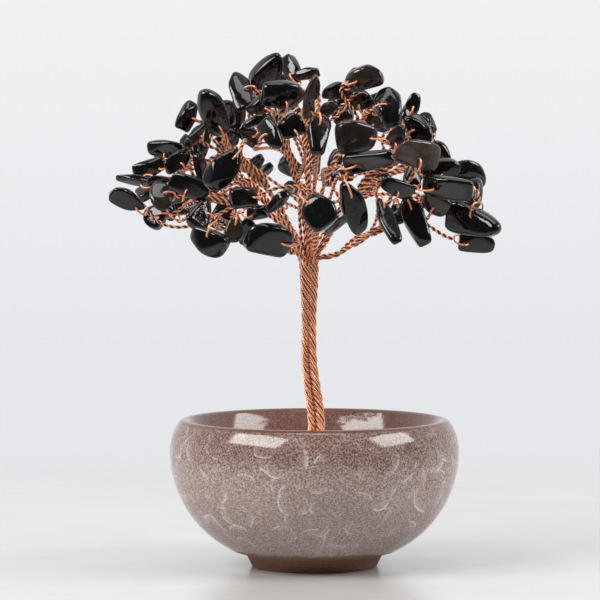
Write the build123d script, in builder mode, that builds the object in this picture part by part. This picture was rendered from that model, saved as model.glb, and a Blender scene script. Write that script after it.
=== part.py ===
"""Gemstone tree ornament: black stone chips on copper twigs, a twisted wire trunk and a glazed bowl.

Millimetres, +Z up, origin at the centre of the bowl's foot, on the surface it stands on.
The viewer of the photograph looks along +Y, so -Y is the front of the tree.
"""

from build123d import *
import math
import os

import numpy as np

# Bowl
BOWL_DIAMETER = 70.0
BOWL_HEIGHT = 35.7
BOWL_WALL = 3.0
INNER_WIDTH_SHARE = 0.86
BELLY_HEIGHT = 28.0
MOUTH_DIAMETER = 65.7
LIP_RISE = 0.7
FOOT_DIAMETER = 30.4
FOOT_TOP_DIAMETER = 32.8
FOOT_HEIGHT = 2.9
FOOT_RING_WIDTH = 2.6
FOOT_RECESS = 1.6
FLARE_DIAMETER = 39.6
FLARE_HEIGHT = 4.0

# Bands of the bowl's turned curves: each is a cone, which keeps the mesh light
WALL_BANDS = 5
SHOULDER_BANDS = 2
LIP_BANDS = 2
INNER_BANDS = 2

# Plaster that holds the trunk in the bowl
PLASTER_PEAK_HEIGHT = 33.6
PLASTER_EDGE_HEIGHT = 27.4
PLASTER_SLOPE_SHARES = (0.38, 0.36)
PLASTER_GAP = 0.1
PLASTER_BORE_GAP = 0.2

# Trunk: twelve strands laid up left-handed, nine of them round a core of three
STRAND_DIAMETER = 0.88
STRAND_SIDES = 4
OUTER_LAY_RADIUS = 1.75
CORE_LAY_RADIUS = 0.6
LAY_PITCH = 18.0
LAY_STEPS_PER_TURN = 7
TRUNK_END_HEIGHT = 18.0
FORK_HEIGHT = 73.7
BASE_OFFSET = 0.5
FORK_OFFSET = -1.3
LEAN_TOP_HEIGHT = 52.0
LIMB_RUNS = 5
LEAST_TURN = 1.5

# Canopy: its places are read from the photograph in pixels, and this width sets their scale
CANOPY_WIDTH = 93.4
CANOPY_COLUMNS = (113, 500)
FORK_COLUMN = 309
FORK_ROW = 262
VIEW_DISTANCE = 1000.0
VIEW_HEIGHT = 123.0

# Stone chips and the twigs that carry them
CHIP_THICKNESS_SHARE = 0.46
BEVEL_SHARE = 0.6
END_HOLE_SHARE = 0.5
SIDE_HOLE_SHARE = 0.32
CHIP_TILTS = (24, -30, 10, 36, -18, -38, 28, -8)
TWIG_DIAMETER = 0.76
TWIG_SIDES = 3
TWIG_SEAT_GAP = 0.12
HOOK_GAP = 0.22
HOLE_GAP = 0.12
ROUTE_GAP = 0.2
CUT_OVERRUN = 1.0

# Where twigs may leave a limb, how far they may bow aside as a share of their span, and how they bend
STATION_SHARES = tuple(i / 16 for i in range(5, 17))
BOW_SHARES = (0, 0.2, -0.2, 0.4, -0.4)
START_PULL_SHARE = 0.35
END_PULL_SHARE = 0.3
HANGING_RISE_SHARE = 0.5
TWIG_RUNS = 3
LEAST_RUN = 1.5
SHARPEST_TURN = 95

MM_PER_PIXEL = CANOPY_WIDTH / (CANOPY_COLUMNS[1] - CANOPY_COLUMNS[0])
BOWL_RADIUS = BOWL_DIAMETER / 2

# The radius of the bowl's lower wall, which stands upright at the belly and ends at the flare
BELLY_INSET = BOWL_RADIUS - FLARE_DIAMETER / 2
BELLY_SWEEP = (BELLY_INSET**2 + (BELLY_HEIGHT - FLARE_HEIGHT) ** 2) / (2 * BELLY_INSET)

STRAND_RADIUS = STRAND_DIAMETER / 2
TWIG_RADIUS = TWIG_DIAMETER / 2
UP = np.array([0.0, 0.0, 1.0])

# Chip outlines, as shares of half the length and half the width
OUTLINE_SHARES = {
    "slab": ((1, 0.1), (0.3, 1), (-0.85, 0.7), (-0.95, -0.6), (0.45, -1)),
    "drop": ((1, 0.12), (-0.2, 1), (-1, 0.4), (-0.85, -0.7), (0.1, -1)),
    "wedge": ((1, -0.1), (0.2, 0.75), (-0.8, 1), (-1, -0.75), (0.1, -1)),
    "bar": ((1, 0.35), (-0.7, 1), (-1, -0.3), (-0.45, -1), (0.85, -0.8)),
    "shield": ((1, 0.25), (0.15, 1), (-1, 0.5), (-0.75, -0.9), (0.6, -1)),
}

# Limbs: the strand's angle in the trunk at the fork, whether it runs in the core, and three
# points of its curve after the fork as column, row and depth in pixels
LIMBS = {
    "right_low": (340, False, ((338, 258, -12), (365, 235, -24), (432, 198, -48))),
    "right": (20, False, ((330, 240, 12), (345, 185, 16), (412, 148, -12))),
    "back_right": (60, False, ((322, 240, 32), (352, 190, 72), (405, 165, 88))),
    "back": (100, False, ((311, 235, 40), (310, 180, 88), (305, 125, 96))),
    "back_left": (140, False, ((300, 240, 32), (270, 190, 72), (215, 165, 88))),
    "left_upper": (180, False, ((294, 232, 12), (282, 190, 8), (222, 146, -4))),
    "left": (220, False, ((292, 235, 0), (275, 200, -8), (200, 196, -12))),
    "left_low": (260, False, ((292, 250, -24), (265, 228, -56), (228, 222, -68))),
    "front": (300, False, ((314, 245, -32), (318, 225, -64), (326, 200, -96))),
    "crown_right": (0, True, ((313, 225, 0), (318, 165, -12), (368, 112, -32))),
    "crown": (120, True, ((310, 225, 12), (316, 170, 12), (322, 108, -4))),
    "crown_left": (240, True, ((304, 230, 0), (303, 165, -8), (268, 112, -28))),
}

# Chips of each limb: column, row, depth, length and width in pixels, then the angle of the length
# in the picture, the roll of the broad face away from the viewer, both in degrees, and the outline
CHIPS = {
    "left": (
        (128, 200, -36, 38, 22, -43, 25, "drop"),
        (134, 180, 8, 32, 15, 20, 55, "bar"),
        (150, 169, 20, 36, 18, 14, 35, "slab"),
        (160, 197, -40, 28, 23, 90, 10, "shield"),
        (156, 217, -16, 26, 24, -80, 15, "wedge"),
        (168, 206, 22, 26, 16, -40, 20, "bar"),
        (181, 195, -8, 28, 15, -12, 30, "wedge"),
        (189, 186, -60, 44, 22, -20, 15, "slab"),
        (160, 181, -8, 26, 14, -15, 30, "bar"),
    ),
    "left_upper": (
        (213, 113, -56, 47, 29, 115, 10, "drop"),
        (188, 117, -8, 33, 20, 62, 35, "slab"),
        (197, 133, -24, 28, 14, 18, 50, "bar"),
        (165, 149, -16, 37, 20, 14, 25, "slab"),
        (190, 146, 16, 24, 16, -35, 30, "shield"),
        (177, 161, -40, 29, 19, 28, 15, "drop"),
        (201, 170, -32, 34, 16, 110, 55, "slab"),
        (223, 169, -104, 43, 30, 48, 5, "drop"),
        (227, 113, 8, 26, 18, 100, 20, "shield"),
        (227, 140, 24, 26, 20, 20, 30, "slab"),
    ),
    "crown_left": (
        (241, 93, -22, 41, 23, 97, 10, "slab"),
        (268, 72, -6, 46, 30, 68, 25, "drop"),
        (291, 70, 28, 26, 18, -50, 20, "shield"),
        (283, 96, -80, 44, 30, -8, 15, "slab"),
        (261, 105, -56, 30, 20, 60, 30, "bar"),
        (257, 121, -88, 28, 20, -2, 75, "slab"),
        (271, 134, -112, 31, 20, -50, 15, "drop"),
        (291, 127, -96, 26, 24, 30, 10, "shield"),
        (250, 135, 16, 26, 18, -45, 20, "bar"),
    ),
    "crown": (
        (307, 74, -12, 25, 18, 38, 60, "bar"),
        (311, 98, -40, 44, 18, 102, 35, "slab"),
        (317, 136, -120, 35, 23, 82, 20, "bar"),
        (323, 128, -72, 24, 14, 80, 20, "drop"),
        (336, 91, -32, 28, 21, 10, 15, "wedge"),
        (326, 109, -16, 20, 14, 62, 30, "bar"),
        (346, 100, 16, 22, 16, 60, 20, "shield"),
        (352, 79, 8, 22, 14, 40, 20, "slab"),
    ),
    "crown_right": (
        (365, 78, -48, 33, 23, 20, 10, "shield"),
        (361, 101, -8, 22, 19, 20, 10, "slab"),
        (389, 108, -56, 40, 28, 100, 10, "slab"),
        (376, 122, -24, 30, 17, -38, 25, "drop"),
        (356, 137, -108, 42, 36, -5, 5, "shield"),
        (369, 160, -144, 47, 20, 24, 20, "bar"),
    ),
    "right": (
        (413, 103, 8, 20, 16, 70, 10, "slab"),
        (408, 113, 28, 18, 14, 60, 20, "shield"),
        (418, 129, -16, 37, 22, -52, 15, "slab"),
        (427, 123, 20, 20, 16, -50, 20, "bar"),
        (417, 154, -88, 43, 27, -12, 5, "slab"),
        (441, 152, -12, 26, 17, -35, 20, "drop"),
        (411, 178, -40, 24, 20, 75, 20, "shield"),
        (396, 136, -28, 22, 18, 80, 20, "bar"),
    ),
    "right_low": (
        (440, 170, -56, 39, 21, 3, 20, "slab"),
        (470, 175, -8, 31, 28, -60, 10, "shield"),
        (447, 187, -96, 50, 24, 6, 20, "bar"),
        (473, 192, -36, 27, 20, -65, 25, "drop"),
        (397, 188, -104, 34, 19, -30, 15, "slab"),
        (436, 204, -72, 28, 24, -30, 20, "shield"),
        (457, 206, -4, 22, 19, 80, 15, "slab"),
        (473, 222, -68, 55, 33, -14, 5, "drop"),
        (476, 242, -24, 38, 24, -12, 25, "slab"),
        (397, 214, -48, 18, 14, 90, 20, "bar"),
    ),
    "front": (
        (318, 211, -144, 38, 34, -40, 5, "shield"),
        (278, 202, -112, 24, 18, 75, 55, "slab"),
        (244, 197, -114, 26, 20, 0, 10, "shield"),
    ),
    "left_low": (
        (257, 212, -86, 22, 16, 10, 40, "bar"),
        (268, 239, -104, 44, 31, -16, 15, "slab"),
        (247, 231, -72, 27, 18, 95, 15, "drop"),
        (233, 231, -102, 24, 20, 80, 10, "shield"),
        (200, 214, -68, 33, 25, 55, 15, "wedge"),
        (208, 240, -112, 40, 30, -20, 10, "bar"),
    ),
    "back_left": (
        (255, 164, 88, 20, 16, 80, 30, "slab"),
        (263, 172, 120, 22, 15, 10, 60, "bar"),
        (150, 190, 44, 30, 20, 35, 120, "slab"),
        (170, 160, 48, 32, 22, -30, 150, "drop"),
        (185, 205, 60, 34, 24, 20, 165, "slab"),
        (200, 140, 60, 38, 24, 60, 140, "drop"),
        (205, 185, 104, 30, 22, -15, 170, "shield"),
        (225, 215, 96, 36, 24, 70, 160, "bar"),
        (230, 160, 120, 32, 24, 100, 175, "slab"),
    ),
    "back": (
        (291, 168, 104, 26, 20, -40, 30, "shield"),
        (296, 189, 64, 24, 16, -36, 60, "bar"),
        (328, 177, 112, 19, 15, 95, 10, "slab"),
        (314, 163, 120, 24, 14, 100, 30, "bar"),
        (235, 115, 52, 34, 22, 80, 150, "slab"),
        (262, 92, 44, 30, 22, 40, 165, "shield"),
        (285, 85, 80, 36, 24, -20, 150, "drop"),
        (285, 115, 112, 34, 24, 30, 170, "slab"),
        (312, 125, 128, 36, 22, 75, 160, "bar"),
        (340, 110, 88, 32, 24, 110, 150, "slab"),
    ),
    "back_right": (
        (335, 160, 72, 22, 16, 60, 20, "bar"),
        (381, 176, 64, 22, 14, -15, 30, "slab"),
        (344, 175, 104, 20, 14, 0, 30, "bar"),
        (355, 135, 120, 34, 24, 20, 165, "shield"),
        (375, 105, 48, 32, 22, 60, 150, "drop"),
        (390, 120, 96, 30, 22, -25, 170, "slab"),
        (405, 148, 80, 36, 24, 15, 160, "slab"),
        (415, 170, 112, 30, 22, 80, 170, "drop"),
        (440, 175, 56, 34, 22, -20, 150, "bar"),
        (455, 195, 40, 28, 22, 30, 140, "shield"),
    ),
}

# Four long chips that hang free from open loops below the canopy
PENDANTS = {
    "right_pendant": ("right_low", (415, 222, -82, 50, 24, 112, 10, "drop")),
    "right_inner_pendant": ("right_low", (387, 222, -132, 46, 19, 98, 20, "drop")),
    "front_pendant": ("front", (353, 208, -136, 52, 24, 112, 10, "drop")),
    "front_inner_pendant": ("front", (337, 222, -112, 32, 18, 75, 50, "drop")),
}


def unit(vector):
    return vector / np.linalg.norm(vector)


def turned(vector, axis, degrees):
    """A vector turned about a unit axis."""
    angle = math.radians(degrees)
    along = axis * np.dot(axis, vector)
    return along + (vector - along) * math.cos(angle) + np.cross(axis, vector) * math.sin(angle)


def place(column, row, depth):
    """The point seen at a pixel of the photograph, at a depth in pixels behind the trunk."""
    behind = depth * MM_PER_PIXEL
    spread = 1 + behind / VIEW_DISTANCE
    across = FORK_OFFSET + (column - FORK_COLUMN) * MM_PER_PIXEL
    height = FORK_HEIGHT + (FORK_ROW - row) * MM_PER_PIXEL
    return np.array([across * spread, behind, VIEW_HEIGHT + (height - VIEW_HEIGHT) * spread])


def trunk_axis(height):
    """The middle of the trunk, which leans a little between the plaster and the limbs."""
    span = LEAN_TOP_HEIGHT - PLASTER_PEAK_HEIGHT
    share = min(max((height - PLASTER_PEAK_HEIGHT) / span, 0), 1)
    ease = share * share * (3 - 2 * share)
    return np.array([BASE_OFFSET + (FORK_OFFSET - BASE_OFFSET) * ease, 0.0, height])


def bezier(points, count):
    """Points along a cubic curve, ends included."""
    a, b, c, d = points
    steps = [i / count for i in range(count + 1)]
    return [(1 - t) ** 3 * a + 3 * t * (1 - t) ** 2 * b + 3 * t * t * (1 - t) * c + t**3 * d for t in steps]


def strand_route(fork_angle, in_core, curve):
    """One strand: up the trunk on its lay, then out along its limb."""
    lay_radius = CORE_LAY_RADIUS if in_core else OUTER_LAY_RADIUS
    rise = FORK_HEIGHT - TRUNK_END_HEIGHT
    steps = math.ceil(rise / LAY_PITCH * LAY_STEPS_PER_TURN)
    points = []
    for i in range(steps + 1):
        below_fork = rise * (1 - i / steps)
        angle = math.radians(fork_angle) + math.tau * below_fork / LAY_PITCH
        spoke = np.array([math.cos(angle), math.sin(angle), 0.0])
        points.append(trunk_axis(FORK_HEIGHT - below_fork) + lay_radius * spoke)
    limb = bezier([points[-1]] + [place(*point) for point in curve], LIMB_RUNS)
    return points, limb


def turn(before, corner, after):
    """How far a route turns at a corner, in degrees."""
    cosine = np.dot(unit(corner - before), unit(after - corner))
    return math.degrees(math.acos(min(max(cosine, -1), 1)))


def without_straight_points(route):
    """A route without the points at which it hardly turns."""
    kept = [a for before, a, after in zip(route, route[1:], route[2:]) if turn(before, a, after) > LEAST_TURN]
    return [route[0]] + kept + [route[-1]]


class Chip:
    """A chip's place, half sizes and directions, worked out from its row of the table."""

    def __init__(self, row, tilt):
        column, line, depth, length, width, angle, roll, self.outline = row
        self.centre = place(column, line, depth)
        self.half_length = length / 2 * MM_PER_PIXEL / math.cos(math.radians(tilt))
        self.half_width = width / 2 * MM_PER_PIXEL
        self.half_thickness = self.half_width * CHIP_THICKNESS_SHARE
        lengthwise = np.array([math.cos(math.radians(angle)), 0.0, math.sin(math.radians(angle))])
        normal = turned(np.array([0.0, -1.0, 0.0]), lengthwise, roll)
        sideways = np.cross(normal, lengthwise)
        self.lengthwise = turned(lengthwise, sideways, tilt)
        self.normal = np.cross(self.lengthwise, sideways)
        self.sideways = sideways
        self.axes = np.array([self.lengthwise, self.sideways, self.normal])
        self.half = np.array([self.half_length, self.half_width, self.half_thickness])
        self.hole = None

    def plane(self):
        return Plane(origin=Vector(*self.centre), x_dir=Vector(*self.lengthwise), z_dir=Vector(*self.normal))

    def ends(self):
        """The four ways in which a loop can reach over the edge, with the edge's and the hole's reach."""
        for sign in (1, -1):
            yield sign * self.lengthwise, self.half_length, self.half_length * END_HOLE_SHARE
        for sign in (1, -1):
            yield sign * self.sideways, self.half_width, self.half_width * SIDE_HOLE_SHARE

    def hook(self, way, edge, hole):
        """The loop of wire over one edge: from the twig's end, through the hole and back below."""
        stand_off = TWIG_RADIUS + HOOK_GAP
        over = self.normal * (self.half_thickness + stand_off)
        outside = self.centre + way * (edge + stand_off + HOOK_GAP)
        lip = self.centre + way * (edge + HOOK_GAP)
        through = self.centre + way * hole
        return [outside, lip + over, through + over, through - over, lip - over]


def sampled(route):
    """Points close together along straight runs."""
    parts = []
    for start, end in zip(route, route[1:]):
        count = max(2, math.ceil(np.linalg.norm(end - start) / TWIG_RADIUS))
        shares = np.linspace(0, 1, count, endpoint=False)[:, None]
        parts.append(start + shares * (end - start))
    return np.vstack(parts + [route[-1][None]])


def station(limb, share):
    """The point and direction at a share of a limb's length."""
    place_on_limb = share * LIMB_RUNS
    run = min(int(place_on_limb), LIMB_RUNS - 1)
    step = limb[run + 1] - limb[run]
    return limb[run] + (place_on_limb - run) * step, unit(step)


def twig_choices(chip, limb, hanging):
    """Every way to reach a chip from its limb, the shortest and straightest first."""
    choices = []
    for way, edge, hole in chip.ends():
        if hanging and way[2] < HANGING_RISE_SHARE:
            continue
        loop = chip.hook(way, edge, hole)
        for share in STATION_SHARES:
            seat, along = station(limb, share)
            span = loop[0] - seat
            reach = np.linalg.norm(span)
            back_turn = 1 - np.dot(along, span) / reach
            wrong_end = 1 + np.dot(way, span) / reach
            for bow in BOW_SHARES:
                for rise in BOW_SHARES:
                    cost = reach * (1 + back_turn + wrong_end + abs(bow) + abs(rise))
                    choices.append((cost, (way, hole, loop, seat, along), (bow, rise)))
    return sorted(choices, key=lambda choice: choice[0])


def twig_route(way, loop, seat, along, bow, rise):
    """A twig that leaves its limb alongside, bows aside and ends in a loop over the chip's edge."""
    span = loop[0] - seat
    reach = np.linalg.norm(span)
    aside = unit(span - along * np.dot(span, along))
    start = seat + aside * (STRAND_RADIUS + TWIG_RADIUS + TWIG_SEAT_GAP)
    across = unit(np.cross(span, UP))
    lift = unit(np.cross(across, span))
    bend = (bow * across + rise * lift) * reach
    first = start + along * reach * START_PULL_SHARE + bend
    last = loop[0] + way * reach * END_PULL_SHARE + bend
    return bezier([start, first, last, loop[0]], TWIG_RUNS) + loop[1:]


def bendable(route):
    """Whether the twig, up to its loop, has neither a run too short to bend nor a turn too sharp."""
    runs = [np.linalg.norm(b - a) for a, b in zip(route, route[1 : TWIG_RUNS + 1])]
    turns = [turn(a, b, c) for a, b, c in zip(route, route[1:], route[2 : TWIG_RUNS + 2])]
    return min(runs) > LEAST_RUN and max(turns) < SHARPEST_TURN and min(turns) > LEAST_TURN


class Surroundings:
    """What a new twig has to keep clear of: all chips, the strands and the twigs made before it."""

    def __init__(self, chips, strands):
        self.centres = np.array([chip.centre for chip in chips])
        self.axes = np.array([chip.axes for chip in chips])
        self.half = np.array([chip.half for chip in chips])
        self.wires = np.vstack(list(strands.values()))
        self.radii = np.full(len(self.wires), STRAND_RADIUS)
        self.owners = np.array([name for name, points in strands.items() for _ in points])

    def add_twig(self, points):
        self.wires = np.vstack([self.wires, points])
        self.radii = np.append(self.radii, np.full(len(points), TWIG_RADIUS))
        self.owners = np.append(self.owners, np.full(len(points), ""))

    def chip_room(self, points, skipped):
        """The least distance from points to the boxes that hold the chips."""
        local = np.einsum("cij,pcj->pci", self.axes, points[:, None] - self.centres)
        distances = np.linalg.norm(np.maximum(np.abs(local) - self.half, 0), axis=2).min(axis=0)
        if skipped is not None:
            distances[skipped] = np.inf
        return distances.min() - TWIG_RADIUS

    def wire_room(self, points, own_limb):
        """The least distance to other wires; a twig may lie closer to the limb that carries it."""
        squares = (points**2).sum(axis=1)[:, None] + (self.wires**2).sum(axis=1) - 2 * points @ self.wires.T
        gaps = np.sqrt(np.maximum(squares.min(axis=0), 0)) - self.radii - TWIG_RADIUS
        gaps[self.owners == own_limb] += ROUTE_GAP - TWIG_SEAT_GAP
        return gaps.min()

    def room(self, route, own_limb, own_chip, enough):
        approach = self.chip_room(sampled(route[: TWIG_RUNS + 1]), None)
        if approach < enough:
            return approach
        points = sampled(route)
        beside_chips = self.chip_room(points, own_chip)
        if beside_chips < enough:
            return beside_chips
        return min(approach, beside_chips, self.wire_room(points, own_limb))


def lay_out():
    """Strands, chips and twigs of the whole tree, each twig bent round what is already there."""
    routes = {name: strand_route(*limb) for name, limb in LIMBS.items()}
    strands = {name: sampled(trunk + limb[1:]) for name, (trunk, limb) in routes.items()}
    rows = [(limb, "chips", row) for limb, table in CHIPS.items() for row in table]
    rows += [(limb, pendant, row) for pendant, (limb, row) in PENDANTS.items()]
    chips = [Chip(row, CHIP_TILTS[i % len(CHIP_TILTS)]) for i, (_, _, row) in enumerate(rows)]
    around = Surroundings(chips, strands)
    tips = [np.linalg.norm(chip.centre - routes[limb][1][-1]) for chip, (limb, _, _) in zip(chips, rows)]
    placed = []
    for i in np.argsort(tips):
        limb, node, _ = rows[i]
        chip = chips[i]
        chip.room = -np.inf
        for _, (way, hole, loop, seat, along), bows in twig_choices(chip, routes[limb][1], node != "chips"):
            route = twig_route(way, loop, seat, along, *bows)
            if not bendable(route):
                continue
            room = around.room(route, limb, i, max(chip.room, 0))
            if room > chip.room:
                chip.room, chip.hole, best = room, hole * way, route
            if room >= ROUTE_GAP:
                break
        around.add_twig(sampled(best))
        placed.append((limb, node, chip, best))
    return routes, placed


def wire(route, radius, sides):
    """A wire of straight runs with mitred bends."""
    points = [Vector(*point) for point in route]
    with BuildPart() as piece:
        with BuildLine() as path:
            Polyline(*points)
        with BuildSketch(Plane(origin=points[0], z_dir=points[1] - points[0])):
            RegularPolygon(radius=radius, side_count=sides)
        sweep(path=path.line, transition=Transition.RIGHT)
    return piece.part.solid()


def stone(chip):
    """A flat chip with bevelled edges, drilled for its loop of wire."""
    corners = [(x * chip.half_length, y * chip.half_width) for x, y in OUTLINE_SHARES[chip.outline]]
    with BuildPart() as piece:
        with BuildSketch(chip.plane()):
            with BuildLine():
                Polyline(*corners, close=True)
            make_face()
        extrude(amount=chip.half_thickness, both=True)
        broad_faces = piece.faces().sort_by(SortBy.AREA)[-2:]
        chamfer(broad_faces.edges(), length=chip.half_thickness * BEVEL_SHARE)
        drill_plane = Plane(
            origin=Vector(*(chip.centre + chip.hole)),
            x_dir=Vector(*chip.lengthwise),
            z_dir=Vector(*chip.normal),
        )
        with BuildSketch(drill_plane):
            RegularPolygon(radius=TWIG_RADIUS + HOLE_GAP, side_count=4, major_radius=False)
        extrude(amount=chip.half_thickness + CUT_OVERRUN, both=True, mode=Mode.SUBTRACT)
    return piece.part.solid()


def banded_arc(centre, radius, start, end, bands):
    """Points of an arc between two angles, for a curve that is turned in bands."""
    angles = [math.radians(start + (end - start) * i / bands) for i in range(bands + 1)]
    return [(centre[0] + radius * math.cos(a), centre[1] + radius * math.sin(a)) for a in angles]


def inner_profile(gap):
    """Points down the bowl's inside below the lip, which is narrower than the outside, less a gap."""
    wall_centre = (BOWL_RADIUS - BELLY_SWEEP, BELLY_HEIGHT)
    inside = banded_arc(wall_centre, BELLY_SWEEP - BOWL_WALL - gap, 0, -90, INNER_BANDS)
    return [(INNER_WIDTH_SHARE * radius, height) for radius, height in inside]


def make_bowl():
    """The glazed bowl: one turned wall with a rolled lip, on a bare foot ring with a recess below."""
    wall_centre = (BOWL_RADIUS - BELLY_SWEEP, BELLY_HEIGHT)
    flare_angle = math.degrees(math.asin((FLARE_HEIGHT - BELLY_HEIGHT) / BELLY_SWEEP))
    lower_wall = banded_arc(wall_centre, BELLY_SWEEP, flare_angle, 0, WALL_BANDS)

    inset = BOWL_RADIUS - MOUTH_DIAMETER / 2
    rise = BOWL_HEIGHT - LIP_RISE - BELLY_HEIGHT
    shoulder_sweep = (inset**2 + rise**2) / (2 * inset)
    shoulder_centre = (BOWL_RADIUS - shoulder_sweep, BELLY_HEIGHT)
    shoulder_angle = math.degrees(math.asin(rise / shoulder_sweep))
    shoulder = banded_arc(shoulder_centre, shoulder_sweep, 0, shoulder_angle, SHOULDER_BANDS)

    half_lip = BOWL_WALL / 2
    lip_sweep = (half_lip**2 + LIP_RISE**2) / (2 * LIP_RISE)
    lip_centre = (MOUTH_DIAMETER / 2 - half_lip, BOWL_HEIGHT - lip_sweep)
    lip_angle = math.degrees(math.acos(half_lip / lip_sweep))
    lip = banded_arc(lip_centre, lip_sweep, lip_angle, 180 - lip_angle, LIP_BANDS)

    inner_wall = inner_profile(0)
    ring_inside = FOOT_DIAMETER / 2 - FOOT_RING_WIDTH
    foot_outside = [(FOOT_DIAMETER / 2, 0), (FOOT_TOP_DIAMETER / 2, FOOT_HEIGHT)]
    foot = [(ring_inside, FOOT_RECESS), (ring_inside, 0), *foot_outside]
    middle = [(0, inner_wall[-1][1]), (0, FOOT_RECESS)]
    with BuildPart() as bowl:
        with BuildSketch(Plane.XZ):
            with BuildLine():
                Polyline(*foot, *lower_wall, *shoulder[1:], *lip[1:], *inner_wall, *middle, close=True)
            make_face()
        revolve(axis=Axis.Z)
    return bowl.part


def make_plaster():
    """The white mound that fills the bowl round the trunk, with the trunk's socket in it."""
    wall = inner_profile(PLASTER_GAP)
    edge_share = (BELLY_HEIGHT - PLASTER_EDGE_HEIGHT) / (BELLY_HEIGHT - wall[1][1])
    edge = (wall[0][0] + edge_share * (wall[1][0] - wall[0][0]), PLASTER_EDGE_HEIGHT)
    across, drop = PLASTER_SLOPE_SHARES
    peak = (0, PLASTER_PEAK_HEIGHT)
    slope = (across * edge[0], PLASTER_EDGE_HEIGHT + drop * (PLASTER_PEAK_HEIGHT - PLASTER_EDGE_HEIGHT))
    socket_radius = OUTER_LAY_RADIUS + STRAND_RADIUS + PLASTER_BORE_GAP
    with BuildPart() as plaster:
        with BuildSketch(Plane.XZ):
            with BuildLine():
                Polyline(edge, *wall[1:], (0, wall[-1][1]), peak, slope, close=True)
            make_face()
        revolve(axis=Axis.Z)
        with BuildSketch(Plane.XY.offset(TRUNK_END_HEIGHT - PLASTER_BORE_GAP)):
            with Locations((BASE_OFFSET, 0)):
                Circle(socket_radius)
        extrude(amount=PLASTER_PEAK_HEIGHT, mode=Mode.SUBTRACT)
    return plaster.part


def write(piece, name):
    piece.label = name
    export_step(piece, f"parts/{name}.step")


os.makedirs("parts", exist_ok=True)
write(make_bowl(), "bowl")
write(make_plaster(), "plaster")

strand_routes, placed_chips = lay_out()
for limb_name, (trunk_run, limb_run) in strand_routes.items():
    strand = without_straight_points(trunk_run + limb_run[1:])
    write(wire(strand, STRAND_RADIUS, STRAND_SIDES), f"{limb_name}_strand")
    own = [row for row in placed_chips if row[0] == limb_name]
    write(Compound([wire(route, TWIG_RADIUS, TWIG_SIDES) for _, _, _, route in own]), f"{limb_name}_twigs")
    write(Compound([stone(chip) for _, node, chip, _ in own if node == "chips"]), f"{limb_name}_chips")
for _, node_name, chip, _ in placed_chips:
    if node_name != "chips":
        write(stone(chip), node_name)

tight = [(limb, node, chip) for limb, node, chip, _ in placed_chips if chip.room < ROUTE_GAP]
print(f"{len(placed_chips)} chips, {len(tight)} twigs with less than {ROUTE_GAP} mm of room")
for limb_name, node_name, chip in tight:
    print(f"  {limb_name} {node_name} {chip.room:.2f} at {np.round(chip.centre, 1)}")
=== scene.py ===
"""Gemstone tree ornament: black stone chips on twisted copper twigs, a wire trunk and a glazed bowl.

Metres, +Z up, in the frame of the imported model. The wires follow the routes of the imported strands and
twigs, and each stone is a tumbled form inside its packed chip.
"""

import math

import bpy
import numpy as np
from bpy.props import FloatProperty, FloatVectorProperty, IntProperty, PointerProperty
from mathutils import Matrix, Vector


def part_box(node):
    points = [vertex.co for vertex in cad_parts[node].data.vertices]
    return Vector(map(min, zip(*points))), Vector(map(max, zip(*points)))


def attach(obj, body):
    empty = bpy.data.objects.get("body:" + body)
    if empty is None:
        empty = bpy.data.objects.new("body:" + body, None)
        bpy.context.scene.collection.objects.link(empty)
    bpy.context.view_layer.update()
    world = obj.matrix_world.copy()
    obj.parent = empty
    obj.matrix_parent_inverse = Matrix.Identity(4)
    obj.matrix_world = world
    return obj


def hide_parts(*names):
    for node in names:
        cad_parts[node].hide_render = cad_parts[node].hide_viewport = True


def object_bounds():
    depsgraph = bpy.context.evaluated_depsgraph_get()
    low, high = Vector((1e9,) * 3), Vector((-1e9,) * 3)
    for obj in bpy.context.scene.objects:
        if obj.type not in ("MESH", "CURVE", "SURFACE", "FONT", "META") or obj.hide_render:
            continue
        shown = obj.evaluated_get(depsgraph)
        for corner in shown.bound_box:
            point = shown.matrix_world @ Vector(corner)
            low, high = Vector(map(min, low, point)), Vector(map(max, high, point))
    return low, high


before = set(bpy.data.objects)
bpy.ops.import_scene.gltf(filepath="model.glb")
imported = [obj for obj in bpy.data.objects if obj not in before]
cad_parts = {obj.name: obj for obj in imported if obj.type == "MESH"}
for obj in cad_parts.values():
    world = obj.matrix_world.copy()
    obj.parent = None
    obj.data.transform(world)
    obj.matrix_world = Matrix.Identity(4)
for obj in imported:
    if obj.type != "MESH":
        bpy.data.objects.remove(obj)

bl_info = {
    "name": "Gemstone Tree Ornament",
    "version": (1, 0, 0),
    "blender": (4, 5, 0),
    "location": "View3D > Sidebar > Gem Tree",
    "description": "Dresses a tree of stone chips, copper wire and a crackle-glazed bowl",
    "category": "Object",
}

CAD_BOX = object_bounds()
MM = 0.001
LIMBS = sorted(name[: -len("_strand")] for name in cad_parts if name.endswith("_strand"))
PENDANTS = sorted(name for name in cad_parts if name.endswith("_pendant"))

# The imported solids: sides of their wires, and what counts as one corner, as square and as opposite
STRAND_SIDES = 4
TWIG_SIDES = 3
MERGE_DISTANCE = 1e-6
SQUARE_COSINE = 0.02
OPPOSITE_COSINE = -0.999

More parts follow.
